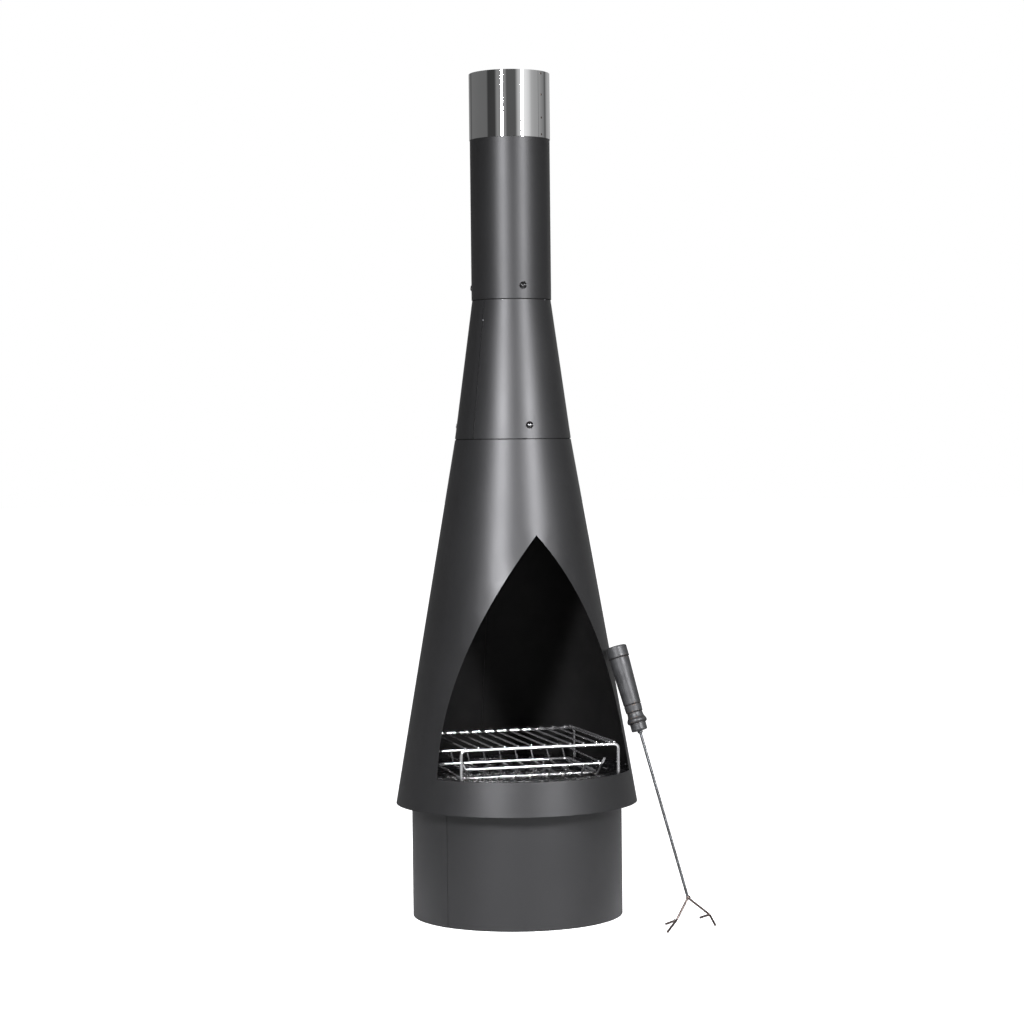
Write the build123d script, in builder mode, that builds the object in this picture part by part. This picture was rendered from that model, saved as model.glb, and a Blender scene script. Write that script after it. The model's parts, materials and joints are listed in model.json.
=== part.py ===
from build123d import *

import math
import os

# A tall steel chiminea on a round base: hearth, slotted firebox cone, middle cone and flue,
# with a cooking rack, a charcoal grate and a four-tined poker leaning beside the opening.
# Millimetres. The origin is on the ground at the centre of the base, +Z is up and the
# opening faces -Y.

os.makedirs("parts", exist_ok=True)

# Sheet metal
sheet = 1.2                     # wall of the base, cones and pipe
trim_sheet = 0.65               # wall of the bright ring where it goes over the pipe
slip = 0.1                      # gap between a sleeve and what it slips over
apart = 0.3                     # least gap between pieces that move against each other

# Base
base_radius = 175.4
base_hem = 9.0                  # width of the turned-in foot of the base
skirt_bottom = 188.3            # lower edge of the firebox cone, which hangs over the base

# Hearth: a pressed tray that hangs in the base by its flange
hearth_top = 243.4
hearth_flange_radius = 190.0
hearth_bowl_radius = 168.0
hearth_depth = 13.4
hearth_corner = 5.0

# Firebox cone, middle cone and flue
cone_bottom_radius = 201.7
cone_top_radius = 96.5
cone_top = 794.8
middle_bottom_radius = 96.75
middle_top_radius = 65.35
middle_top = 1025.4
pipe_radius = 66.45
pipe_top = 1335.0
ring_radius = 67.2
ring_bottom = 1290.6
total_height = 1400.0
stop_step = 0.6                 # how far the ring's wall steps in to rest on the pipe's end
neck_height = 35.0              # how far one piece slips into the next
shoulder = 2.8                  # height of the step between the cone and its neck
joint_gap = 1.6                 # gap below the lower edge of a piece that slips over a neck

# Opening: a pointed arch
opening_bottom = 243.0
opening_half_width = 165.0
opening_apex = 637.0
opening_bulge = 33.2            # how far each side stands out from its straight chord

# Lap seams of the rolled sheets
lap_width = 14.0
lap_rise = 0.6
cone_seam_angle = 90.0
middle_seam_angle = -153.6
base_seam_angle = -150.0
ring_seam_angle = -56.0

# Fasteners: M6 dome heads, three to a joint
screw_count = 3
screw_radius = 3.0
screw_hole_radius = 3.3
head_radius = 6.0
head_height = 3.8
head_edge = 0.9                 # straight part of the head's side, under its dome
recess_width = 1.1
recess_length = 5.4
recess_depth = 1.6
nut_flats = 10.0
nut_height = 5.0
bore_clearance = 0.05           # between a bore and the shank or rod inside it
drill_reach = 10.0              # how far a hole is cut to each side of a wall's outside
screw_tail = 2.5                # how far the shank stands past its nut
front_angle = -90.0             # one screw of each ring faces the front
pipe_screw_height = 1046.6
cone_screw_height = 816.5
base_screw_height = 214.0

# Brackets between the base and the firebox cone
bracket_sheet = 2.0
bracket_width = 30.0
bracket_bottom = 200.0
bracket_top = 232.0

# Cooking rack
rack_rod = 2.5                  # radius
rack_wire = 1.6                 # radius
rack_centre = 5.0
rack_half_width = 134.5
rack_front = -117.0
rack_back = 109.0
rack_height = 290.0             # of the front rod's centre line
rack_rear_height = 294.0        # the rack stands a little higher at the back
rack_bend = 7.5
rack_wire_count = 12
rack_wire_pitch = 22.4
rack_first_wire = -123.5
rack_last_wire = 132.0
rack_wire_end = 4.0             # how far the wires stand past the rods
end_rounding = 0.6

# Charcoal grate: bars bent to a shallow basket, on a loop, two rims and two side rods
grate_rod = 2.5                 # radius
grate_bar = 1.5                 # radius
grate_left = -112.0
grate_right = 125.0
grate_bar_count = 9
grate_bar_front = (-86.0, 255.5)
grate_bar_front_bend = (-60.0, 232.2)
grate_bar_back_bend = (104.0, 239.6)
grate_bar_back = (126.0, 264.0)
grate_bar_bend = 4.0
loop_corner = 16.0
loop_inset_front = 8.0          # from the bars' front bend to the loop
loop_inset_back = 9.0
rim_curl = 9.0
rim_inset = 4.0                 # from a rim to the ends of the bars
rim_share = 0.82                # how far up the bars' sloping ends the rims lie
foot_bars = (1, 6)              # each foot stands just right of the bar with this number

# Poker: where its handle's top and its fork are, leaning on the cone beside the opening
handle_top = Vector(143.1, -99.8, 449.0)
fork = Vector(224.1, -209.2, 47.0)
poker_rod_radius = 2.3
prong_radius = 1.9
left_bend = Vector(199.5, -222.5, 12.5)
left_front_tip = Vector(169.6, -261.2, 2.2)
left_back_tip = Vector(190.4, -197.0, 2.2)
right_bend = Vector(266.5, -198.5, 13.0)
right_front_tip = Vector(262.3, -233.4, 2.2)
right_back_tip = Vector(263.5, -163.0, 2.2)
prong_bend = 6.0

# Turned handle: lengths from its top, and radii
handle_length = 144.0
handle_cap_length = 19.0
handle_cap_radius = 17.6
handle_cap_rounding = 3.0
groove_width = 1.8
groove_depth = 1.1
barrel_end = 99.0
barrel_top_radius = 16.8
barrel_end_radius = 14.6
waist_end = 112.2
waist_radius = 13.9
bead_height = 127.5
bead_radius = 16.5
bead_half_length = 3.4
neck_start = 131.5
neck_radius = 13.3
neck_rounding = 2.0
handle_bore_depth = 60.0
ferrule_length = 5.0
ferrule_radius = 4.4
ferrule_taper = 1.95


def polar(radius, angle, height=0.0):
    """The point at this radius, angle in degrees about Z, and height."""
    turn = math.radians(angle)
    return Vector(radius * math.cos(turn), radius * math.sin(turn), height)


def radial_plane(angle):
    """The upright plane through Z at this angle, with x outwards and y up."""
    return Plane(origin=(0, 0, 0), x_dir=polar(1, angle), z_dir=polar(1, angle - 90))


def wall_between(outer, thickness):
    """The closed outline of a wall of this thickness inside the (radius, height) points."""
    inner = [(radius - thickness, height) for radius, height in reversed(outer)]
    return outer + inner


def turn_profile(points, angle=0.0, arc=360.0):
    """Adds the solid that the (radius, height) outline sweeps about Z."""
    with BuildSketch(radial_plane(angle)) as profile:
        with BuildLine():
            Polyline(*points, close=True)
        make_face()
    revolve(profile.sketch, axis=Axis.Z, revolution_arc=arc)


def lap_seam(outer, angle, rise):
    """Adds the overlap of a rolled sheet: a strip raised from the (radius, height) points."""
    arc = math.degrees(lap_width / max(radius for radius, height in outer))
    raised = [(radius + rise, height) for radius, height in outer]
    sunk = [(radius - rise / 2, height) for radius, height in reversed(outer)]
    turn_profile(raised + sunk, angle - arc / 2, arc)


def screw_plane(radius, height, tilt, angle=0.0):
    """The plane on a wall whose outward normal leans up by tilt degrees."""
    lean = math.radians(tilt)
    outwards = polar(math.cos(lean), angle, math.sin(lean))
    return Plane(origin=polar(radius, angle, height), x_dir=polar(1, angle + 90), z_dir=outwards)


def screw_holes(radius, height, tilt, start):
    """Cuts the screws' holes through the wall at this radius."""
    for number in range(screw_count):
        seat = screw_plane(radius, height, tilt, start + number * 360 / screw_count)
        with BuildSketch(seat) as hole:
            Circle(screw_hole_radius)
        extrude(hole.sketch, amount=drill_reach, both=True, mode=Mode.SUBTRACT)


def make_screws(radius, height, tilt, start, grip):
    """A ring of dome-head screws whose heads sit on the wall at this radius."""
    seat = screw_plane(radius, height, tilt)
    head_plane = Plane(origin=seat.origin, x_dir=seat.x_dir, z_dir=seat.y_dir * -1)
    with BuildPart() as screw:
        with BuildSketch(head_plane) as head:
            with BuildLine():
                Polyline((0, head_height), (0, 0), (head_radius, 0), (head_radius, head_edge))
                TangentArc((0, head_height), (head_radius, head_edge), tangent=(1, 0))
            make_face()
        revolve(head.sketch, axis=Axis(seat.origin, seat.z_dir))
        with BuildSketch(seat.offset(head_height)):
            Rectangle(recess_length, recess_width)
            Rectangle(recess_width, recess_length)
        extrude(amount=-recess_depth, mode=Mode.SUBTRACT)
        with BuildSketch(seat):
            Circle(screw_radius)
        extrude(amount=-(grip + nut_height + screw_tail))
    with BuildPart() as group:
        with PolarLocations(0, screw_count, start_angle=start):
            add(screw.part)
    return group.part


def make_nuts(radius, height, tilt, start, grip):
    """A ring of hexagon nuts that stand inside the wall on those screws."""
    seat = screw_plane(radius, height, tilt).offset(-grip)
    with BuildPart() as nut:
        with BuildSketch(seat):
            RegularPolygon(nut_flats / 2, 6, major_radius=False)
            Circle(screw_radius + bore_clearance, mode=Mode.SUBTRACT)
        extrude(amount=-nut_height)
    with BuildPart() as group:
        with PolarLocations(0, screw_count, start_angle=start):
            add(nut.part)
    return group.part


def grip_of(radius, thickness):
    """How far inside the outer radius a flat nut clears the curved wall of this thickness."""
    corner = nut_flats / math.sqrt(3)
    return radius - math.sqrt((radius - thickness) ** 2 - corner ** 2)


def rod(points, radius, bend=0.0, closed=False):
    """Adds a round rod along the points, with its corners bent to the radius bend."""
    with BuildLine() as path:
        if bend > 0:
            FilletPolyline(*points, radius=bend, close=closed)
        else:
            Polyline(*points)
    start = path.line @ 0
    with BuildSketch(Plane(origin=start, z_dir=path.line % 0)) as section:
        Circle(radius)
    sweep(section.sketch, path=path.line)


def cone_radius(height):
    """The firebox cone's outer radius at this height."""
    rise = (height - skirt_bottom) / (cone_top - skirt_bottom)
    return cone_bottom_radius + rise * (cone_top_radius - cone_bottom_radius)


def middle_radius(height):
    """The middle cone's outer radius at this height, carried on below it and above it."""
    rise = (height - cone_top) / (middle_top - cone_top)
    return middle_bottom_radius + rise * (middle_top_radius - middle_bottom_radius)


# Walls measured level are a little thicker than the sheet on the sloping cones
cone_tilt = math.degrees(math.atan((cone_bottom_radius - cone_top_radius) / (cone_top - skirt_bottom)))
middle_tilt = math.degrees(
    math.atan((middle_bottom_radius - middle_top_radius) / (middle_top - cone_top))
)
cone_wall = sheet / math.cos(math.radians(cone_tilt))
middle_wall = sheet / math.cos(math.radians(middle_tilt))

# ---- Base ----
base_top = hearth_top - sheet
base_outline = [(base_radius, 0), (base_radius, base_top)]
with BuildPart() as base_ring:
    turn_profile(wall_between(base_outline, sheet))
    turn_profile(wall_between([(base_radius, 0), (base_radius, sheet)], base_hem))
    lap_seam([(base_radius, 0), (base_radius, base_top)], base_seam_angle, lap_rise)
    screw_holes(base_radius, base_screw_height, 0, front_angle)

# ---- Brackets: a channel in the gap under the skirt, three times ----
bracket_arc = math.degrees(bracket_width / base_radius)
bracket_outline = [
    (base_radius, bracket_bottom),
    (base_radius, bracket_top),
    (cone_radius(bracket_top) - cone_wall, bracket_top),
    (cone_radius(bracket_bottom) - cone_wall, bracket_bottom),
    (cone_radius(bracket_bottom) - cone_wall - bracket_sheet, bracket_bottom),
    (cone_radius(bracket_top) - cone_wall - bracket_sheet, bracket_top - bracket_sheet),
    (base_radius + bracket_sheet, bracket_top - bracket_sheet),
    (base_radius + bracket_sheet, bracket_bottom),
]
with BuildPart() as base_brackets:
    for number in range(screw_count):
        middle = front_angle + number * 360 / screw_count
        turn_profile(bracket_outline, middle - bracket_arc / 2, bracket_arc)
    screw_holes(base_radius, base_screw_height, 0, front_angle)

# ---- Hearth ----
hearth_floor = hearth_top - hearth_depth
with BuildPart() as hearth_bowl:
    with BuildSketch(radial_plane(0)):
        with BuildLine():
            FilletPolyline(
                (0, hearth_floor),
                (hearth_bowl_radius - sheet, hearth_floor),
                (hearth_bowl_radius, hearth_top),
                (hearth_flange_radius, hearth_top),
                radius=hearth_corner,
            )
            Polyline(
                (hearth_flange_radius, hearth_top),
                (hearth_flange_radius, hearth_top - sheet),
            )
            FilletPolyline(
                (hearth_flange_radius, hearth_top - sheet),
                (hearth_bowl_radius + sheet, hearth_top - sheet),
                (hearth_bowl_radius, hearth_floor - sheet),
                (0, hearth_floor - sheet),
                radius=hearth_corner,
            )
            Line((0, hearth_floor - sheet), (0, hearth_floor))
        make_face()
    revolve(axis=Axis.Z)

# ---- Firebox cone, with the neck that the middle cone slips over ----
neck_inset = middle_wall + slip
neck_top = cone_top + neck_height
bend_start = cone_top - 2 * shoulder
cone_outline = [
    (cone_bottom_radius, skirt_bottom),
    (cone_radius(cone_top - joint_gap), cone_top - joint_gap),
    (middle_radius(cone_top) - neck_inset, cone_top - joint_gap),
    (middle_radius(neck_top) - neck_inset, neck_top),
    (middle_radius(neck_top) - neck_inset - middle_wall, neck_top),
    (middle_radius(cone_top) - neck_inset - middle_wall, cone_top - shoulder),
    (cone_radius(bend_start) - cone_wall, bend_start),
    (cone_bottom_radius - cone_wall, skirt_bottom),
]
cone_seam_outline = [
    (cone_bottom_radius - cone_wall, skirt_bottom),
    (cone_radius(bend_start) - cone_wall, bend_start),
]
with BuildPart() as main_cone:
    turn_profile(cone_outline)
    lap_seam(cone_seam_outline, cone_seam_angle, -lap_rise)
    with BuildSketch(Plane.XZ) as arch:
        with BuildLine():
            left = (-opening_half_width, opening_bottom)
            right = (opening_half_width, opening_bottom)
            Line(left, right)
            SagittaArc(right, (0, opening_apex), -opening_bulge)
            SagittaArc((0, opening_apex), left, -opening_bulge)
        make_face()
    extrude(arch.sketch, amount=cone_bottom_radius + sheet, mode=Mode.SUBTRACT)
    screw_holes(middle_radius(cone_screw_height), cone_screw_height, middle_tilt, front_angle)

# ---- Middle cone, with the neck that the pipe slips over ----
pipe_neck_radius = pipe_radius - sheet - slip
neck_bottom = middle_top - joint_gap
middle_outline = [
    (middle_bottom_radius, cone_top),
    (middle_radius(neck_bottom), neck_bottom),
    (pipe_neck_radius, neck_bottom),
    (pipe_neck_radius, middle_top + neck_height),
]
middle_inner = [
    (pipe_neck_radius - sheet, middle_top + neck_height),
    (pipe_neck_radius - sheet, neck_bottom),
    (middle_bottom_radius - middle_wall, cone_top),
]
with BuildPart() as middle_cone:
    turn_profile(middle_outline + middle_inner)
    lap_seam(middle_outline[:2], middle_seam_angle, lap_rise)
    screw_holes(middle_radius(cone_screw_height), cone_screw_height, middle_tilt, front_angle)
    screw_holes(pipe_radius, pipe_screw_height, 0, front_angle)

# ---- Flue pipe and the bright ring over its top ----
with BuildPart() as flue_pipe:
    turn_profile(wall_between([(pipe_radius, middle_top), (pipe_radius, pipe_top)], sheet))
    screw_holes(pipe_radius, pipe_screw_height, 0, front_angle)

ring_outline = [(ring_radius, ring_bottom), (ring_radius, total_height)]
ring_bore = ring_radius - trim_sheet
step_height = pipe_top + slip
ring_inner = [
    (ring_bore - stop_step, total_height),
    (ring_bore - stop_step, step_height),
    (ring_bore, step_height),
    (ring_bore, ring_bottom),
]
with BuildPart() as flue_ring:
    turn_profile(ring_outline + ring_inner)
    lap_seam(ring_outline, ring_seam_angle, trim_sheet / 2)

# ---- Screws and nuts of the three joints ----
pipe_grip = grip_of(pipe_radius, 2 * sheet + slip)
cone_grip = grip_of(middle_radius(cone_screw_height), 2 * (middle_wall + slip))
base_grip = bracket_sheet + sheet + slip
bracket_face = base_radius + bracket_sheet
pipe_screws = make_screws(pipe_radius, pipe_screw_height, 0, front_angle, pipe_grip)
pipe_nuts = make_nuts(pipe_radius, pipe_screw_height, 0, front_angle, pipe_grip)
cone_screws = make_screws(
    middle_radius(cone_screw_height), cone_screw_height, middle_tilt, front_angle, cone_grip
)
cone_nuts = make_nuts(
    middle_radius(cone_screw_height), cone_screw_height, middle_tilt, front_angle, cone_grip
)
bracket_screws = make_screws(bracket_face, base_screw_height, 0, front_angle, base_grip)
bracket_nuts = make_nuts(bracket_face, base_screw_height, 0, front_angle, base_grip)

# ---- Cooking rack ----
rack_left = rack_centre - rack_half_width
rack_right = rack_centre + rack_half_width
leg_bottom = hearth_top + apart


def rack_frame(depth, height):
    """Adds a rod across the rack whose two ends are bent down into legs."""
    corners = [
        (rack_left, depth, leg_bottom),
        (rack_left, depth, height),
        (rack_right, depth, height),
        (rack_right, depth, leg_bottom),
    ]
    rod(corners, rack_rod, rack_bend)


with BuildPart() as rack_front_frame:
    rack_frame(rack_front, rack_height)

with BuildPart() as rack_rear_frame:
    rack_frame(rack_back, rack_rear_height)

wire_places = [rack_first_wire + number * rack_wire_pitch for number in range(rack_wire_count)]
wire_places.append(rack_last_wire)
wire_lift = rack_rod + rack_wire
wire_front = Vector(0, rack_front, rack_height + wire_lift)
wire_back = Vector(0, rack_back, rack_rear_height + wire_lift)
wire_way = (wire_back - wire_front).normalized()
wire_plane = Plane(origin=wire_front - wire_way * rack_wire_end, x_dir=(1, 0, 0), z_dir=wire_way)
with BuildPart() as rack_wires:
    with BuildSketch(wire_plane):
        with Locations(*[(place, 0) for place in wire_places]):
            Circle(rack_wire)
    extrude(amount=(wire_back - wire_front).length + 2 * rack_wire_end)
    fillet(rack_wires.edges().filter_by(GeomType.CIRCLE), end_rounding)

# ---- Charcoal grate ----
grate_width = grate_right - grate_left
bar_lean = math.atan2(
    grate_bar_back_bend[1] - grate_bar_front_bend[1],
    grate_bar_back_bend[0] - grate_bar_front_bend[0],
)
bar_pitch = (grate_width - 2 * rim_inset) / (grate_bar_count - 1)
bar_places = [grate_left + rim_inset + number * bar_pitch for number in range(grate_bar_count)]


def on_bars(depth):
    """Height of a rod's centre when it lies on the bars' flat stretch at this depth."""
    along = (depth - grate_bar_front_bend[0]) * math.tan(bar_lean)
    return grate_bar_front_bend[1] + along + (grate_bar + grate_rod) / math.cos(bar_lean)


def beside_bars(low, high, share, side):
    """A rod's centre against the inner side of a bar's sloping end, this share of the way up."""
    run = high[0] - low[0]
    rise = high[1] - low[1]
    length = math.hypot(run, rise)
    offset = (grate_bar + grate_rod) * side
    depth = low[0] + share * run + offset * rise / length
    height = low[1] + share * rise - offset * run / length
    return depth, height


with BuildPart() as grate_bars:
    for place in bar_places:
        profile = [grate_bar_front, grate_bar_front_bend, grate_bar_back_bend, grate_bar_back]
        rod([(place, depth, height) for depth, height in profile], grate_bar, grate_bar_bend)

loop_front = grate_bar_front_bend[0] + loop_inset_front
loop_back = grate_bar_back_bend[0] - loop_inset_back
with BuildPart() as grate_loop:
    loop_corners = [
        (grate_left, loop_front, on_bars(loop_front)),
        (grate_right, loop_front, on_bars(loop_front)),
        (grate_right, loop_back, on_bars(loop_back)),
        (grate_left, loop_back, on_bars(loop_back)),
    ]
    rod(loop_corners, grate_rod, loop_corner, closed=True)

front_rim_depth, front_rim_height = beside_bars(grate_bar_front_bend, grate_bar_front, rim_share, 1)
back_rim_depth, back_rim_height = beside_bars(grate_bar_back_bend, grate_bar_back, rim_share, -1)

with BuildPart() as grate_front_rim:
    rod(
        [
            (grate_left - rim_inset, front_rim_depth, front_rim_height + rim_curl),
            (grate_left, front_rim_depth, front_rim_height),
            (grate_right, front_rim_depth, front_rim_height),
            (grate_right + rim_inset, front_rim_depth, front_rim_height + rim_curl),
        ],
        grate_rod,
        rim_inset,
    )

with BuildPart() as grate_rear_rim:
    rod(
        [
            (grate_left, back_rim_depth, back_rim_height),
            (grate_right, back_rim_depth, back_rim_height),
        ],
        grate_rod,
    )


def grate_side(place):
    """Adds a straight rod that joins the tops of the two rims."""
    slope = (back_rim_height - front_rim_height) / (back_rim_depth - front_rim_depth)
    rise = (grate_rod + grate_bar) * math.hypot(1, slope)
    overhang = rim_inset * slope
    rod(
        [
            (place, front_rim_depth - rim_inset, front_rim_height + rise - overhang),
            (place, back_rim_depth + rim_inset, back_rim_height + rise + overhang),
        ],
        grate_bar,
    )


with BuildPart() as grate_left_side:
    grate_side(grate_left + 2 * rim_inset)

with BuildPart() as grate_right_side:
    grate_side(grate_right - 2 * rim_inset)

foot_bottom = hearth_floor + apart
with BuildPart() as grate_feet:
    with BuildSketch(Plane.XY.offset(foot_bottom)):
        for bar in foot_bars:
            with Locations((bar_places[bar] + bar_pitch / 2, loop_back)):
                Circle(grate_bar)
    extrude(amount=on_bars(loop_back) - grate_rod - foot_bottom)

# ---- Poker ----
shaft = (handle_top - fork).normalized()
shaft_plane = Plane(origin=handle_top, z_dir=shaft)
turning_plane = Plane(origin=handle_top, x_dir=shaft_plane.x_dir, z_dir=shaft_plane.y_dir * -1)
shaft_axis = Axis(handle_top, shaft)
bore_radius = poker_rod_radius + bore_clearance
with BuildPart() as poker_handle:
    with BuildSketch(turning_plane) as handle_half:
        with BuildLine():
            Polyline(
                (0, 0),
                (handle_cap_radius, 0),
                (handle_cap_radius, -handle_cap_length),
                (barrel_top_radius - groove_depth, -handle_cap_length),
                (barrel_top_radius - groove_depth, -handle_cap_length - groove_width),
                (barrel_top_radius, -handle_cap_length - groove_width),
                (barrel_end_radius, -barrel_end),
                (barrel_end_radius - groove_depth, -barrel_end),
                (barrel_end_radius - groove_depth, -barrel_end - groove_width),
                (barrel_end_radius, -barrel_end - groove_width),
                (waist_radius, -waist_end),
                (waist_radius - groove_depth, -waist_end),
                (waist_radius - groove_depth, -waist_end - groove_width),
            )
            TangentArc(
                (waist_radius - groove_depth, -waist_end - groove_width),
                (bead_radius - groove_depth, -bead_height + bead_half_length),
                tangent=(0, -1),
            )
            ThreePointArc(
                (bead_radius - groove_depth, -bead_height + bead_half_length),
                (bead_radius, -bead_height),
                (bead_radius - groove_depth, -bead_height - bead_half_length),
            )
            Polyline(
                (bead_radius - groove_depth, -bead_height - bead_half_length),
                (neck_radius, -neck_start),
                (neck_radius, -handle_length),
                (0, -handle_length),
                (0, 0),
            )
        make_face()
    revolve(handle_half.sketch, axis=shaft_axis)
    ends = poker_handle.edges().filter_by(GeomType.CIRCLE).sort_by(shaft_axis)
    fillet(ends[-1], handle_cap_rounding)
    fillet(ends[0], neck_rounding)
    with BuildSketch(shaft_plane.offset(-handle_length)) as bore:
        Circle(bore_radius)
    extrude(bore.sketch, amount=handle_bore_depth, mode=Mode.SUBTRACT)

with BuildPart() as poker_ferrule:
    with BuildSketch(shaft_plane.offset(-handle_length)) as wide_end:
        Circle(ferrule_radius)
        Circle(bore_radius, mode=Mode.SUBTRACT)
    extrude(wide_end.sketch, amount=-ferrule_length)
    chamfer(
        poker_ferrule.edges().filter_by(GeomType.CIRCLE).sort_by(shaft_axis)[:2].sort_by(SortBy.RADIUS)[-1],
        ferrule_taper,
    )

with BuildPart() as poker_rod:
    rod_top = handle_top - shaft * (handle_length - handle_bore_depth + slip)
    with BuildSketch(Plane(origin=fork, z_dir=shaft)) as rod_end:
        Circle(poker_rod_radius)
    extrude(rod_end.sketch, amount=(rod_top - fork).length)


def prong_start(bend_point):
    """Where a prong's centre line starts, against the lower end of the shaft."""
    way = (bend_point - fork).normalized()
    return fork + way * poker_rod_radius - shaft * prong_radius


def tine_start(bend_point, tip):
    """Where a tine starts, against the side of its prong."""
    way = (tip - bend_point).normalized()
    return bend_point + way * 2 * prong_radius


with BuildPart() as poker_left_prong:
    rod([prong_start(left_bend), left_bend, left_front_tip], prong_radius, prong_bend)

with BuildPart() as poker_right_prong:
    rod([prong_start(right_bend), right_bend, right_front_tip], prong_radius, prong_bend)

with BuildPart() as poker_left_tine:
    rod([tine_start(left_bend, left_back_tip), left_back_tip], prong_radius)

with BuildPart() as poker_right_tine:
    rod([tine_start(right_bend, right_back_tip), right_back_tip], prong_radius)

# ---- Files ----
pieces = {
    "base_ring": base_ring.part,
    "base_brackets": base_brackets.part,
    "bracket_screws": bracket_screws,
    "bracket_nuts": bracket_nuts,
    "hearth_bowl": hearth_bowl.part,
    "main_cone": main_cone.part,
    "middle_cone": middle_cone.part,
    "cone_screws": cone_screws,
    "cone_nuts": cone_nuts,
    "flue_pipe": flue_pipe.part,
    "pipe_screws": pipe_screws,
    "pipe_nuts": pipe_nuts,
    "flue_ring": flue_ring.part,
    "rack_front_frame": rack_front_frame.part,
    "rack_rear_frame": rack_rear_frame.part,
    "rack_wires": rack_wires.part,
    "grate_bars": grate_bars.part,
    "grate_loop": grate_loop.part,
    "grate_front_rim": grate_front_rim.part,
    "grate_rear_rim": grate_rear_rim.part,
    "grate_left_side": grate_left_side.part,
    "grate_right_side": grate_right_side.part,
    "grate_feet": grate_feet.part,
    "poker_handle": poker_handle.part,
    "poker_ferrule": poker_ferrule.part,
    "poker_rod": poker_rod.part,
    "poker_left_prong": poker_left_prong.part,
    "poker_right_prong": poker_right_prong.part,
    "poker_left_tine": poker_left_tine.part,
    "poker_right_tine": poker_right_tine.part,
}
for name, piece in pieces.items():
    piece.label = name
    export_step(piece, f"parts/{name}.step")
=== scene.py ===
import json
import math

import bmesh
import bpy
from mathutils import Matrix, Vector


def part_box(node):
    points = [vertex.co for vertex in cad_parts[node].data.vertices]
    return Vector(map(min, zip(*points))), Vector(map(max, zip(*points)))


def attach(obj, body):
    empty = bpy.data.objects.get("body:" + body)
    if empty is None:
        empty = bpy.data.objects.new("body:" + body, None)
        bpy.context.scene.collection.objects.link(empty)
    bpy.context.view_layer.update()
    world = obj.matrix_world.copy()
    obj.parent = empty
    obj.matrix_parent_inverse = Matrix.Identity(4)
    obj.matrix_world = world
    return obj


# The looks of a tall steel chiminea: satin black paint, a polished ring, chromed wire, a
# painted wooden handle and drawn steel. Metres, in the CAD model's own frame.

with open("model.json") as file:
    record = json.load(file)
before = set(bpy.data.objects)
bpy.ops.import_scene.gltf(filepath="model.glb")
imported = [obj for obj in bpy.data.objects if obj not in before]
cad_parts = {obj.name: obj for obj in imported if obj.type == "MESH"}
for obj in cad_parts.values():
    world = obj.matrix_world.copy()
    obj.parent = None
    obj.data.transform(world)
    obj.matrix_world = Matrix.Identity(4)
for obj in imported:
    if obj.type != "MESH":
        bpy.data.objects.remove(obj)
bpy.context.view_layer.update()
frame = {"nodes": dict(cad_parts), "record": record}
nodes = frame["nodes"]


# ---------------------------------------------------------------- camera
# A long lens near the middle of the object's height, to the left of the opening, looking
# very slightly down.
LENS_MM = 91.25
CAMERA_DISTANCE = 4.336
CAMERA_HEIGHT = 0.7875
CAMERA_AZIMUTH = math.radians(-17.2)
CAMERA_PITCH = math.radians(1.525)
CAMERA_ROLL = math.radians(-0.625)
CAMERA_PAN = math.radians(0.037)


def add_camera():
    """The scene's camera, on a stand that is turned to one side of the opening."""
    data = bpy.data.cameras.new("camera")
    data.lens = LENS_MM
    camera = bpy.data.objects.new("camera", data)
    bpy.context.scene.collection.objects.link(camera)
    back = Matrix.Translation((0, -CAMERA_DISTANCE, CAMERA_HEIGHT))
    stand = Matrix.Rotation(CAMERA_AZIMUTH, 4, "Z") @ back
    level = Matrix.Rotation(math.radians(90), 4, "X")
    aim = Matrix.Rotation(CAMERA_PAN, 4, "Y") @ Matrix.Rotation(-CAMERA_PITCH, 4, "X")
    camera.matrix_world = stand @ level @ aim @ Matrix.Rotation(CAMERA_ROLL, 4, "Z")
    bpy.context.scene.camera = camera


add_camera()
bpy.context.scene.view_settings.view_transform = "Standard"


# ---------------------------------------------------------------- shader helpers
# The sockets of a mix node that are for colours.
COLOUR_INPUTS = (6, 7)
COLOUR_OUTPUT = 2


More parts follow.
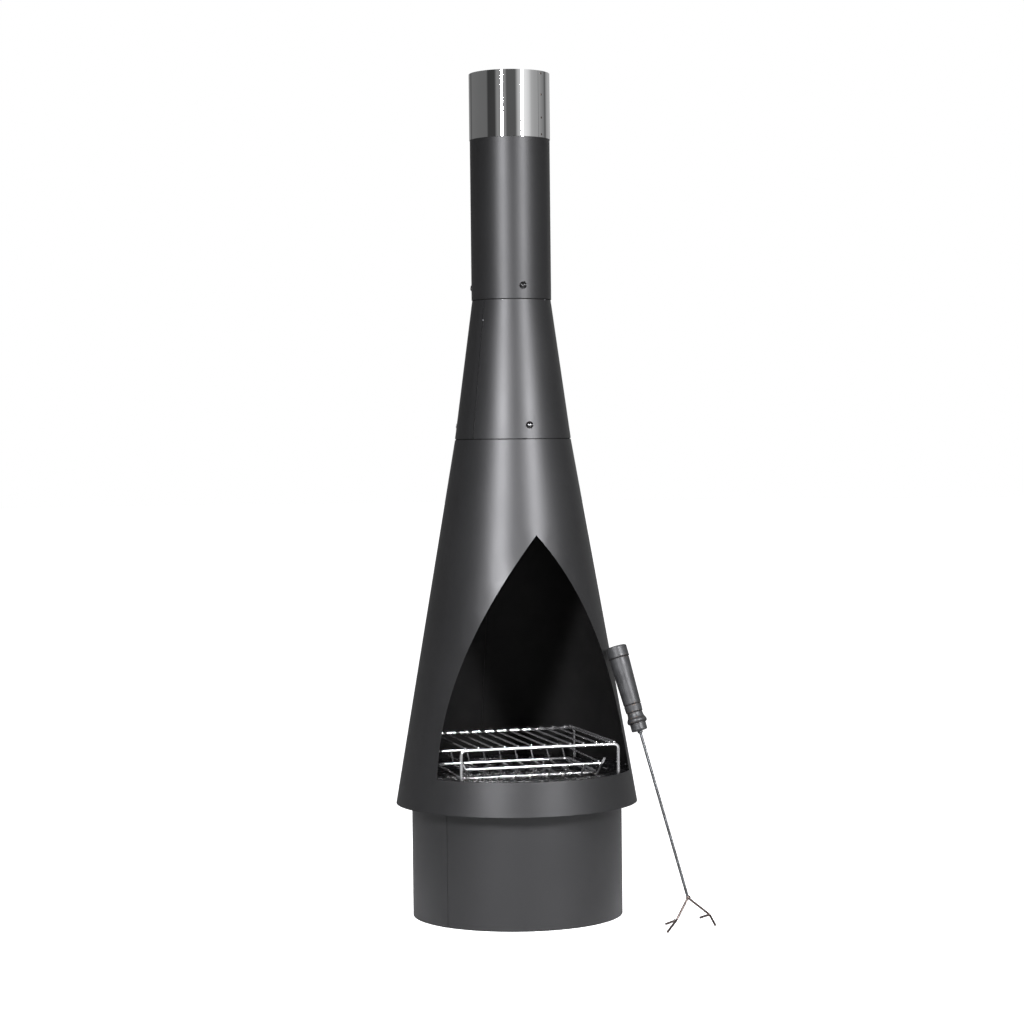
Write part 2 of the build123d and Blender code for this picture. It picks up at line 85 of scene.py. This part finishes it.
class Nodes:
    """A node tree, with a short way to add and join its nodes."""

    def __init__(self, tree):
        self.tree = tree

    def node(self, kind, inputs=None, **settings):
        """Adds a node. Each input is a plain value or another node's output socket."""
        made = self.tree.nodes.new(kind)
        for key, value in settings.items():
            setattr(made, key, value)
        for key, value in (inputs or {}).items():
            self.fill(made.inputs[key], value)
        return made

    def fill(self, socket, value):
        """Joins an output socket to an input socket, or gives the input a plain value."""
        if isinstance(value, bpy.types.NodeSocket):
            self.tree.links.new(value, socket)
        else:
            socket.default_value = value

    def calculate(self, operation, *values):
        """The result of an operation on plain numbers or other nodes' outputs."""
        made = self.node("ShaderNodeMath", dict(enumerate(values)), operation=operation)
        return made.outputs[0]

    def near(self, value, middle, reach):
        """One where the value is within reach of the middle, and zero elsewhere."""
        return self.calculate("COMPARE", value, middle, reach)

    def largest(self, values):
        """The largest of several values."""
        result, *others = values
        for value in others:
            result = self.calculate("MAXIMUM", result, value)
        return result

    def vectors(self, operation, *values):
        """The node of an operation on vectors."""
        return self.node("ShaderNodeVectorMath", dict(enumerate(values)), operation=operation)

    def ramp(self, factor, *stops):
        """A blend through the stops, each a position and a grey level or colour."""
        made = self.node("ShaderNodeValToRGB", {"Fac": factor})
        points = made.color_ramp.elements
        while len(points) < len(stops):
            points.new(0.5)
        for point, (position, colour) in zip(points, stops):
            point.position = position
            grey = isinstance(colour, (int, float))
            point.color = (colour, colour, colour, 1) if grey else (*colour, 1)
        return made.outputs["Color"]

    def blend(self, factor, first, second):
        """Mixes two colours."""
        made = self.node("ShaderNodeMix", {"Factor": factor}, data_type="RGBA")
        for socket, colour in zip(COLOUR_INPUTS, (first, second)):
            self.fill(made.inputs[socket], (*colour, 1) if isinstance(colour, tuple) else colour)
        return made.outputs[COLOUR_OUTPUT]

    def is_seen(self):
        """One for what the camera sees itself, and zero for reflections and light."""
        return self.node("ShaderNodeLightPath").outputs["Is Camera Ray"]


class Shader(Nodes):
    """A material and its node tree."""

    def __init__(self, name):
        self.material = bpy.data.materials.new(name)
        self.material.use_nodes = True
        super().__init__(self.material.node_tree)
        self.surface = self.tree.nodes["Principled BSDF"]

    def place(self):
        """Where a point is on the object, in metres."""
        return self.node("ShaderNodeTexCoord").outputs["Object"]

    def along(self, axis):
        """How far a point lies along the axis."""
        return self.vectors("DOT_PRODUCT", self.place(), axis).outputs["Value"]

    def stretched(self, axis, keep):
        """The place with distances along the axis shrunk to keep of themselves."""
        shift = self.calculate("MULTIPLY", self.along(axis), 1 - keep)
        back = self.node("ShaderNodeVectorMath", {0: axis, "Scale": shift}, operation="SCALE")
        return self.vectors("SUBTRACT", self.place(), back.outputs[0]).outputs[0]

    def noise(self, scale, detail=2.0, roughness=0.5, place=None, distortion=0.0):
        """Noise from 0 to 1 with this many features in a metre."""
        made = self.node("ShaderNodeTexNoise", {
            "Vector": place or self.place(),
            "Scale": scale,
            "Detail": detail,
            "Roughness": roughness,
            "Distortion": distortion,
        })
        return made.outputs["Fac"]

    def bump(self, height, depth, strength, under=None):
        """A normal that rises and falls with height, by depth metres."""
        inputs = {"Height": height, "Strength": strength, "Distance": depth}
        if under is not None:
            inputs["Normal"] = under
        return self.node("ShaderNodeBump", inputs).outputs["Normal"]

    def set(self, **inputs):
        """Sets the surface's inputs; underscores stand for the spaces in their names."""
        for key, value in inputs.items():
            socket = self.surface.inputs[key.replace("_", " ")]
            self.fill(socket, (*value, 1) if isinstance(value, tuple) else value)
        return self.material


# ---------------------------------------------------------------- materials
# Heights of the lower edges of the pipe and the middle cone. Just under each edge, in the joint
# groove, the colour is near black: painted shade. Where the paint is chipped the edge itself is
# bright.
JOINTS = [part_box("flue_pipe")[0].z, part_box("middle_cone")[0].z]
JOINT_GAP = 0.0017
CHIPPED_REACH = 0.0007


def satin_paint():
    """Charcoal high-temperature paint, sprayed: fine grain, faint clouds and a little dust.

    It is matt and painted darker on the inner side of the sheets, painted shade inside the
    firebox, and painted shade, near black, in the two joint grooves.
    """
    shader = Shader("satin_paint")
    clouds = shader.noise(5.0, 3.0)
    grain = shader.noise(2600.0, 2.0)
    dust = shader.ramp(shader.noise(420.0, 2.0, 0.6), (0.70, 0.0), (0.78, 0.22))
    tone = shader.ramp(
        clouds, (0.3, (0.0056, 0.0056, 0.0058)), (0.7, (0.0080, 0.0080, 0.0083))
    )
    speckles = shader.ramp(grain, (0.45, 0.0), (0.62, 0.35))
    speckled = shader.blend(speckles, tone, (0.019, 0.019, 0.0195))
    outer = shader.blend(dust, speckled, (0.06, 0.06, 0.063))

    height = shader.node("ShaderNodeSeparateXYZ", {0: shader.place()}).outputs["Z"]
    flakes = shader.ramp(shader.noise(85.0, 3.0, 0.7), (0.655, 0.0), (0.67, 1.0))
    for joint in JOINTS:
        edge = shader.near(height, joint - JOINT_GAP, CHIPPED_REACH)
        outer = shader.blend(
            shader.calculate("MULTIPLY", edge, flakes), outer, (0.42, 0.42, 0.43)
        )

    level = shader.vectors("MULTIPLY", shader.place(), (1.0, 1.0, 0.0)).outputs[0]
    normal = shader.node("ShaderNodeNewGeometry").outputs["True Normal"]
    outward = shader.vectors("DOT_PRODUCT", level, normal).outputs["Value"]
    # Painted shade: the inner side of the sheets and the two joint grooves get a darker, matter
    # colour.
    painted_shade_mask = shader.largest(
        [shader.calculate("LESS_THAN", outward, 0.0)]
        + [shader.near(height, joint - JOINT_GAP / 2, JOINT_GAP / 2) for joint in JOINTS]
    )
    # The painted shade colour for the inside of the firebox and the joint grooves.
    painted_inner_shade = shader.ramp(
        shader.noise(34.0, 4.0, 0.6),
        (0.3, (0.0026, 0.0025, 0.0025)),
        (0.7, (0.0050, 0.0047, 0.0045)),
    )
    gloss = shader.ramp(clouds, (0.2, 0.41), (0.8, 0.48))

    ripple = shader.bump(shader.noise(14.0, 1.0), 0.0006, 0.35)
    peel = shader.bump(shader.noise(700.0, 2.0), 0.00012, 0.25, ripple)
    return shader.set(
        Base_Color=shader.blend(painted_shade_mask, outer, painted_inner_shade),
        Roughness=shader.blend(painted_shade_mask, gloss, (0.66, 0.66, 0.66)),
        Specular_IOR_Level=shader.ramp(painted_shade_mask, (0.0, 0.55), (1.0, 0.20)),
        Normal=shader.bump(grain, 0.00006, 0.35, peel),
    )


def hearth_paint():
    """Glossier black paint of the pressed hearth, lightly scuffed."""
    shader = Shader("hearth_paint")
    scuffs = shader.noise(60.0, 4.0, 0.6)
    return shader.set(
        Base_Color=shader.ramp(
            scuffs, (0.4, (0.004, 0.004, 0.0043)), (0.75, (0.010, 0.010, 0.0105))
        ),
        Roughness=shader.ramp(scuffs, (0.35, 0.16), (0.8, 0.38)),
        Specular_IOR_Level=0.3,
        Normal=shader.bump(shader.noise(900.0), 0.00005, 0.3),
    )


def polished_ring():
    """Polished stainless sheet: faint waves, fine polishing lines round it and a few smudges."""
    shader = Shader("polished_ring")
    upright = (0.0, 0.0, 1.0)
    lines = shader.noise(1400.0, 2.0, 0.5, shader.stretched(upright, 8.0))
    smudge = shader.noise(14.0, 2.0, 0.5)
    waves = shader.noise(11.0, 0.0, 0.4, shader.stretched(upright, 0.35))
    return shader.set(
        Base_Color=shader.blend(
            shader.ramp(smudge, (0.5, 0.0), (0.8, 0.5)), (0.93, 0.935, 0.94), (0.86, 0.855, 0.85)
        ),
        Metallic=1.0,
        Roughness=shader.ramp(smudge, (0.35, 0.018), (0.8, 0.028)),
        Normal=shader.bump(lines, 0.000005, 0.10, shader.bump(waves, 0.0008, 0.15)),
    )


def chromed_wire():
    """Bright plating over drawn wire, with slight draw lines and dull spots."""
    shader = Shader("chromed_wire")
    spots = shader.noise(260.0, 3.0, 0.6)
    return shader.set(
        Base_Color=shader.ramp(spots, (0.35, (0.80, 0.80, 0.81)), (0.8, (0.62, 0.61, 0.60))),
        Metallic=0.9,
        Roughness=shader.ramp(spots, (0.35, 0.12), (0.8, 0.26)),
        Normal=shader.bump(shader.noise(1500.0), 0.00004, 0.3),
    )


def weld_metal(name, light, dark):
    """Resistance welds: duller than the metal round them and slightly scaled."""
    shader = Shader(name)
    scale = shader.noise(900.0, 3.0, 0.6)
    return shader.set(
        Base_Color=shader.ramp(scale, (0.3, light), (0.75, dark)),
        Metallic=1.0,
        Roughness=shader.ramp(scale, (0.3, 0.22), (0.8, 0.42)),
        Normal=shader.bump(scale, 0.0002, 0.5),
    )


def painted_seam_shadow():
    """Near black, a painted shadow along the lap seam, with bright chips where the paint has
    flaked.
    """
    shader = Shader("painted_seam_shadow")
    chips = shader.ramp(shader.noise(160.0, 4.0, 0.7), (0.66, 0.0), (0.70, 1.0))
    tone = shader.ramp(
        shader.noise(500.0), (0.3, (0.0025, 0.0025, 0.0026)), (0.7, (0.006, 0.006, 0.0062))
    )
    return shader.set(
        Base_Color=shader.blend(chips, tone, (0.30, 0.30, 0.31)),
        Roughness=shader.ramp(chips, (0.0, 0.75), (1.0, 0.35)),
        Specular_IOR_Level=0.2,
        Normal=shader.bump(shader.noise(900.0), 0.0002, 0.4),
    )


def black_fastener():
    """Black screws and nuts: thin finish, rubbed lighter in places by the driver."""
    shader = Shader("black_fastener")
    rub = shader.noise(700.0, 3.0, 0.6)
    return shader.set(
        Base_Color=shader.ramp(
            rub, (0.45, (0.003, 0.003, 0.0032)), (0.8, (0.016, 0.0155, 0.015))
        ),
        Roughness=shader.ramp(rub, (0.3, 0.13), (0.8, 0.28)),
        Specular_IOR_Level=0.4,
        Normal=shader.bump(shader.noise(2500.0), 0.00005, 0.3),
    )


def poker_axis():
    """The direction of the poker's rod, from its low end to its high end."""
    low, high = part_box("poker_rod")
    return Vector((low.x - high.x, high.y - low.y, high.z - low.z)).normalized()


# The handle's turned grooves, by their distance from its top end, how far from a groove's
# middle the painted shade reaches and how far it is rubbed, and how much that wavers.
GROOVES = (0.0194, 0.0995, 0.1127, 0.1234, 0.1302)
GROOVE_REACH = 0.0013
RUBBED_REACH = 0.0023
GROOVE_WOBBLE = 0.0008


def painted_wood():
    """Dark grey paint over turned wood: grain shows through, painted shade in the turned
    grooves, chipped and rubbed brown beside them."""
    shader = Shader("painted_wood")
    axis = poker_axis()
    top = max(vertex.co.dot(axis) for vertex in nodes["poker_handle"].data.vertices)
    lines = [top - depth for depth in GROOVES]
    height = shader.along(tuple(axis))
    wobble = shader.calculate("MULTIPLY_ADD", shader.noise(300.0), GROOVE_WOBBLE, height)
    # Painted shade: near black in the turned grooves.
    painted_groove_shade = shader.largest([shader.near(wobble, line, GROOVE_REACH) for line in lines])
    rubbed = shader.largest([shader.near(wobble, line, RUBBED_REACH) for line in lines])

    grain = shader.noise(420.0, 4.0, 0.6, shader.stretched(tuple(axis), 0.06), 0.6)
    patches = shader.noise(60.0, 4.0, 0.65)
    chips = shader.noise(240.0, 5.0, 0.7)
    worn = shader.calculate("MULTIPLY", rubbed, shader.ramp(chips, (0.56, 0.0), (0.62, 0.9)))
    bare_spots = shader.largest([worn, shader.ramp(chips, (0.68, 0.0), (0.72, 0.9))])
    paint = shader.ramp(
        patches, (0.3, (0.016, 0.0163, 0.0168)), (0.7, (0.032, 0.0326, 0.0332))
    )
    streaks = shader.ramp(grain, (0.35, 0.40), (0.6, 0.0))
    streaked = shader.blend(streaks, paint, (0.009, 0.009, 0.0092))
    bare = shader.ramp(grain, (0.3, (0.060, 0.032, 0.018)), (0.7, (0.105, 0.062, 0.036)))
    painted = shader.blend(bare_spots, streaked, bare)
    sheen = shader.ramp(patches, (0.3, 0.38), (0.75, 0.56))
    return shader.set(
        Base_Color=shader.blend(painted_groove_shade, painted, (0.006, 0.0052, 0.005)),
        Roughness=shader.blend(painted_groove_shade, sheen, (0.8, 0.8, 0.8)),
        Specular_IOR_Level=0.5,
        Normal=shader.bump(grain, 0.0003, 0.30, shader.bump(patches, 0.0008, 0.35)),
    )


# How far the draw lines take the roughness up and down.
ROUGHNESS_SWING = 0.08


def drawn_steel(name, light, dark, roughness):
    """Bare drawn steel bar, with draw lines along it and a brown bloom."""
    shader = Shader(name)
    lines = shader.noise(1300.0, 3.0, 0.6, shader.stretched(tuple(poker_axis()), 0.05))
    bloom = shader.ramp(shader.noise(70.0, 4.0, 0.65), (0.4, 0.0), (0.7, 1.0))
    return shader.set(
        Base_Color=shader.blend(bloom, light, dark),
        Metallic=1.0,
        Roughness=shader.ramp(
            lines, (0.3, roughness - ROUGHNESS_SWING), (0.7, roughness + ROUGHNESS_SWING)
        ),
        Normal=shader.bump(lines, 0.0001, 0.4),
    )


looks = {
    "black_paint": satin_paint(),
    "hearth_paint": hearth_paint(),
    "bright_trim": polished_ring(),
    "black_fastener": black_fastener(),
    "chromed_wire": chromed_wire(),
    "turned_wood": painted_wood(),
    "tool_steel": drawn_steel("rod_steel", (0.11, 0.115, 0.12), (0.07, 0.068, 0.066), 0.34),
}
prong_steel = drawn_steel("prong_steel", (0.13, 0.105, 0.095), (0.075, 0.055, 0.048), 0.42)
wire_weld = weld_metal("weld_metal", (0.58, 0.57, 0.56), (0.36, 0.34, 0.32))
ring_weld = weld_metal("ring_weld_metal", (0.22, 0.15, 0.11), (0.07, 0.045, 0.035))
# The seam strip's near-black colour is a painted shadow.
seam_shadow_look = painted_seam_shadow()

for entry in frame["record"]["subparts"]:
    forked = "prong" in entry["node"] or "tine" in entry["node"]
    for material_slot in nodes[entry["node"]].material_slots:
        material_slot.material = prong_steel if forked else looks[entry["material_slot"]]


# ---------------------------------------------------------------- welds
# Vertices further apart than this belong to separate wires.
STRAND_GAP = 0.003


def strands(node):
    """Centres, along X, of the separate wires that a node is made of."""
    values = sorted(vertex.co.x for vertex in nodes[node].data.vertices)
    groups = [[values[0]]]
    for value in values[1:]:
        if value - groups[-1][-1] > STRAND_GAP:
            groups.append([])
        groups[-1].append(value)
    return [(group[0] + group[-1]) / 2 for group in groups]


def centre(node):
    """The middle of a CAD node's box."""
    low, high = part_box(node)
    return (low + high) / 2


# A bead's lumps: their share of its size, how closely they follow each other across it, and
# how much they shift from one place on the object to the next.
LUMP_SHARE = 0.10
LUMPS_IN_X, LUMPS_IN_Y = 5.1, 4.3
SHIFT_IN_X, SHIFT_IN_Y = 90, 70


def blob(mesh, place, size, turn=None):
    """Adds a lumpy bead of metal to the mesh, with half-lengths size."""
    made = bmesh.ops.create_icosphere(mesh, subdivisions=3, radius=1.0)
    for vertex in made["verts"]:
        wave = math.sin(LUMPS_IN_X * vertex.co.x + SHIFT_IN_X * place.x)
        cross_wave = math.cos(LUMPS_IN_Y * vertex.co.y + SHIFT_IN_Y * place.y)
        lump = 1 + LUMP_SHARE * wave * cross_wave
        vertex.co = Vector(value * half * lump for value, half in zip(vertex.co, size))
        if turn is not None:
            vertex.co = turn @ vertex.co
        vertex.co += place


def finish_mesh(name, mesh, look, body):
    """Turns a bmesh into a smooth piece that rides on a body."""
    data = bpy.data.meshes.new(name)
    mesh.to_mesh(data)
    mesh.free()
    for face in data.polygons:
        face.use_smooth = True
    data.materials.append(look)
    piece = bpy.data.objects.new(name, data)
    bpy.context.scene.collection.objects.link(piece)
    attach(piece, body)


RACK_BEAD = (0.0021, 0.0019, 0.0009)
RACK_BEAD_LIFT = 0.0001


def add_rack_welds():
    """A small bead where each cross wire of the rack lies on its rod."""
    mesh = bmesh.new()
    for frame_node in ("rack_front_frame", "rack_rear_frame"):
        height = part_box(frame_node)[1].z + RACK_BEAD_LIFT
        for x in strands("rack_wires"):
            blob(mesh, Vector((x, centre(frame_node).y, height)), RACK_BEAD)
    finish_mesh("rack_welds", mesh, wire_weld, "rack")


GRATE_ROD = 0.0025
GRATE_BEAD = (0.0020, 0.0017, 0.0010)
# From the middle of a rod to its welds, one rod's radius away. The loop lies on the bars, the
# rims lie in the bars' sloping ends, and the side rods lie on the rims.
LOOP_TO_BARS = Vector((0, 0, -GRATE_ROD))
FRONT_RIM_TO_BARS = Vector((0, -0.668, -0.745)) * GRATE_ROD
REAR_RIM_TO_BARS = Vector((0, 0.743, -0.670)) * GRATE_ROD
RIM_TO_SIDE_RODS = Vector((0, 0, GRATE_ROD))


def add_grate_welds():
    """Beads where the grate's bars meet its loop and rims, and where its side rods meet the
    rims."""
    mesh = bmesh.new()
    loop_low, loop_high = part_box("grate_loop")
    front = Vector((0, centre("grate_front_rim").y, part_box("grate_front_rim")[0].z + GRATE_ROD))
    rear = Vector((0, centre("grate_rear_rim").y, centre("grate_rear_rim").z))
    loop_front = Vector((0, loop_low.y + GRATE_ROD, loop_low.z + GRATE_ROD))
    loop_rear = Vector((0, loop_high.y - GRATE_ROD, loop_high.z - GRATE_ROD))
    crossings = (
        front + FRONT_RIM_TO_BARS,
        rear + REAR_RIM_TO_BARS,
        loop_front + LOOP_TO_BARS,
        loop_rear + LOOP_TO_BARS,
    )
    for x in strands("grate_bars"):
        for crossing in crossings:
            blob(mesh, Vector((x, 0, 0)) + crossing, GRATE_BEAD)
    for side in ("grate_left_side", "grate_right_side"):
        for rim in (front, rear):
            blob(mesh, Vector((centre(side).x, 0, 0)) + rim + RIM_TO_SIDE_RODS, GRATE_BEAD)
    finish_mesh("grate_welds", mesh, wire_weld, "grate")


# The poker's beads, and their places from corners of the rod's box and the tines' boxes.
FORK_BEAD = (0.0040, 0.0036, 0.0034)
FORK_INSET = 0.0015
FORK_DROP = 0.0008
TINE_BEAD = (0.0022, 0.0027, 0.0025)
TINE_INSET = Vector((-0.0026, 0.0008, -0.0016))


def add_poker_welds():
    """The bead that joins the prongs to the rod, and a bead where each tine leaves its prong."""
    mesh = bmesh.new()
    low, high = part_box("poker_rod")
    foot = Vector((high.x - FORK_INSET, low.y + FORK_INSET, low.z))
    blob(mesh, foot - poker_axis() * FORK_DROP, FORK_BEAD)
    for tine in ("poker_left_tine", "poker_right_tine"):
        low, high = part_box(tine)
        blob(mesh, Vector((high.x, low.y, high.z)) + TINE_INSET, TINE_BEAD)
    finish_mesh("poker_welds", mesh, prong_steel, "poker")


def around(radius, angle, height):
    """A point this far from the chimney's middle line, with the angle in degrees."""
    turn = math.radians(angle)
    return Vector((radius * math.cos(turn), radius * math.sin(turn), height))


# The seam's bearing in degrees, its steps, and its ends as shares of the cone's height.
SEAM_EDGE = -149.5
SEAM_STEPS = 150
SEAM_ENDS = (0.004, 0.985)
# The pipe's outer radius, less the middle cone's where it enters the pipe.
PIPE_SLIP = 0.0011
# The bead's half-width, and waves in its course and its width: how fast each wave runs over
# the seam's length, how high it is and where it starts.
BEAD_HALF_WIDTH = 0.0011
BEAD_COURSE = ((47, 0.0006, 0), (131, 0.00036, 1), (283, 0.00024, 2))
BEAD_SWELL = ((95, 0.00035, 0.5), (211, 0.00018, 0))
# The bead's outline across the seam: shares of its half-width, and lifts off the wall.
BEAD_OUTLINE = ((-1, -0.0002), (-0.6, 0.0007), (0.6, 0.0007), (1, -0.0002))


def cone_point(angle, share):
    """A point on the middle cone's outer side, at a share of the height that can be seen."""
    low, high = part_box("middle_cone")
    pipe_low, pipe_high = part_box("flue_pipe")
    radius = high.y + share * (pipe_high.y - PIPE_SLIP - high.y)
    return around(radius, angle, low.z + share * (pipe_low.z - low.z))


def waves(share, table):
    """The sum of a table's waves at a share of the seam's length."""
    return sum(high * math.sin(rate * share + start) for rate, high, start in table)


def add_seam_shadow_bead():
    """A ragged near-black strip along the middle cone's lap seam: a painted shadow of the lap's
    step.
    """
    mesh = bmesh.new()
    low_end, high_end = (cone_point(SEAM_EDGE, share) for share in SEAM_ENDS)
    out = Vector((low_end.x, low_end.y, 0)).normalized()
    side = Vector((-out.y, out.x, 0))
    rows = []
    for step in range(SEAM_STEPS + 1):
        share = step / SEAM_STEPS
        half_width = BEAD_HALF_WIDTH + waves(share, BEAD_SWELL)
        middle = low_end.lerp(high_end, share) + side * waves(share, BEAD_COURSE)
        rows.append([
            mesh.verts.new(middle + side * half_width * across + out * lift)
            for across, lift in BEAD_OUTLINE
        ])
    for below, above in zip(rows, rows[1:]):
        for left in range(len(BEAD_OUTLINE) - 1):
            right = left + 1
            mesh.faces.new((below[left], below[right], above[right], above[left]))
    finish_mesh("middle_seam_shadow", mesh, seam_shadow_look, "root")


# The ring's spot welds: their bearing in degrees, size, stand off the wall and distances
# from the ring's top.
RING_SEAM = -56.0
RING_DIMPLE = (0.0003, 0.0017, 0.0020)
RING_DIMPLE_LIFT = 0.0002
RING_DIMPLE_DROPS = (0.0045, 0.0390, 0.0770, 0.1045)


def add_ring_welds():
    """Spot welds down the bright ring's seam: shallow, heat-tinted dimples."""
    mesh = bmesh.new()
    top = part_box("flue_ring")[1]
    turn = Matrix.Rotation(math.radians(RING_SEAM), 3, "Z")
    for drop in RING_DIMPLE_DROPS:
        place = around(top.y + RING_DIMPLE_LIFT, RING_SEAM, top.z - drop)
        blob(mesh, place, RING_DIMPLE, turn)
    finish_mesh("ring_welds", mesh, ring_weld, "root")


add_rack_welds()
add_grate_welds()
add_poker_welds()
add_seam_shadow_bead()
add_ring_welds()


# ---------------------------------------------------------------- studio
FLOOR_RADIUS = 30.0
FLOOR_SIDES = 96
FLOOR_DROP = 0.0004


def add_floor():
    """A pale floor that looks white, as in a studio sweep, and lights the object softly."""
    mesh = bmesh.new()
    bmesh.ops.create_circle(mesh, cap_ends=True, segments=FLOOR_SIDES, radius=FLOOR_RADIUS)
    data = bpy.data.meshes.new("floor")
    mesh.to_mesh(data)
    mesh.free()
    floor = bpy.data.objects.new("floor", data)
    floor.location.z = -FLOOR_DROP
    bpy.context.scene.collection.objects.link(floor)
    shader = Shader("floor_paper")
    data.materials.append(shader.set(
        Base_Color=shader.ramp(shader.noise(3.0, 3.0), (0.3, 0.60), (0.7, 0.66)),
        Roughness=0.9,
        Emission_Color=(1.0, 1.0, 1.0),
        Emission_Strength=shader.is_seen(),
    ))


# Brightness of the studio walls by bearing, which is in degrees from the camera's side and
# positive to the camera's right. The paint and the ring reflect these walls.
STUDIO = (
    (-180, 0.34), (-150, 0.20), (-142, 0.06), (-134, 0.15), (-92, 0.135), (-68, 0.13),
    (-63, 0.04), (-42, 0.045), (-35, 0.24), (-12, 0.26), (-7, 0.09), (17, 0.09),
    (24, 0.40), (42, 0.86), (58, 0.62), (66, 0.40), (76, 0.34), (93, 0.30),
    (116, 0.17), (124, 0.08), (130, 0.28), (150, 0.42), (180, 0.34),
)
WHITE = (1.0, 1.0, 1.0)


def add_world():
    """A white surround for the eye, and the studio's darker walls for light and reflections."""
    world = bpy.data.worlds.new("studio")
    world.use_nodes = True
    bpy.context.scene.world = world
    sky = Nodes(world.node_tree)
    turned = sky.node("ShaderNodeVectorRotate", {
        "Vector": sky.node("ShaderNodeTexCoord").outputs["Generated"],
        "Angle": -CAMERA_AZIMUTH,
    }, rotation_type="Z_AXIS").outputs["Vector"]
    parts = sky.node("ShaderNodeSeparateXYZ", {"Vector": turned}).outputs
    towards_camera = sky.calculate("MULTIPLY", parts["Y"], -1.0)
    share = sky.node("ShaderNodeMapRange", {
        "Value": sky.calculate("ARCTAN2", parts["X"], towards_camera),
        "From Min": -math.pi,
        "From Max": math.pi,
    }).outputs[0]
    walls = sky.ramp(share, *(((bearing + 180) / 360, level) for bearing, level in STUDIO))
    sky.fill(
        sky.tree.nodes["Background"].inputs["Color"], sky.blend(sky.is_seen(), walls, WHITE)
    )


SOFT_BOX_COLOUR = (0.99, 0.99, 1.03)
SOFT_BOX_SPREAD = math.radians(90)


def add_soft_box(name, bearing, distance, height, aim, width, length, power):
    """A soft box on a stand, at a bearing as in STUDIO, that faces the object's middle line
    at the height aim."""
    data = bpy.data.lights.new(name, "AREA")
    data.shape = "RECTANGLE"
    data.size = width
    data.size_y = length
    data.energy = power
    data.color = SOFT_BOX_COLOUR
    data.spread = SOFT_BOX_SPREAD
    light = bpy.data.objects.new(name, data)
    bpy.context.scene.collection.objects.link(light)
    angle = CAMERA_AZIMUTH + math.radians(bearing)
    light.location = (distance * math.sin(angle), -distance * math.cos(angle), height)
    ahead = Vector((0, 0, aim)) - light.location
    light.rotation_euler = ahead.to_track_quat("-Z", "Y").to_euler()
    light.visible_camera = False


add_floor()
add_world()
add_soft_box(
    "key_left", bearing=-21, distance=2.12, height=1.50, aim=0.16,
    width=0.165, length=0.52, power=21.4,
)
add_soft_box(
    "key_right", bearing=36, distance=2.12, height=1.50, aim=0.16,
    width=0.195, length=0.52, power=17.8,
)
add_soft_box(
    "top", bearing=180, distance=0.9, height=3.0, aim=0.6, width=1.6, length=1.6, power=2,
)
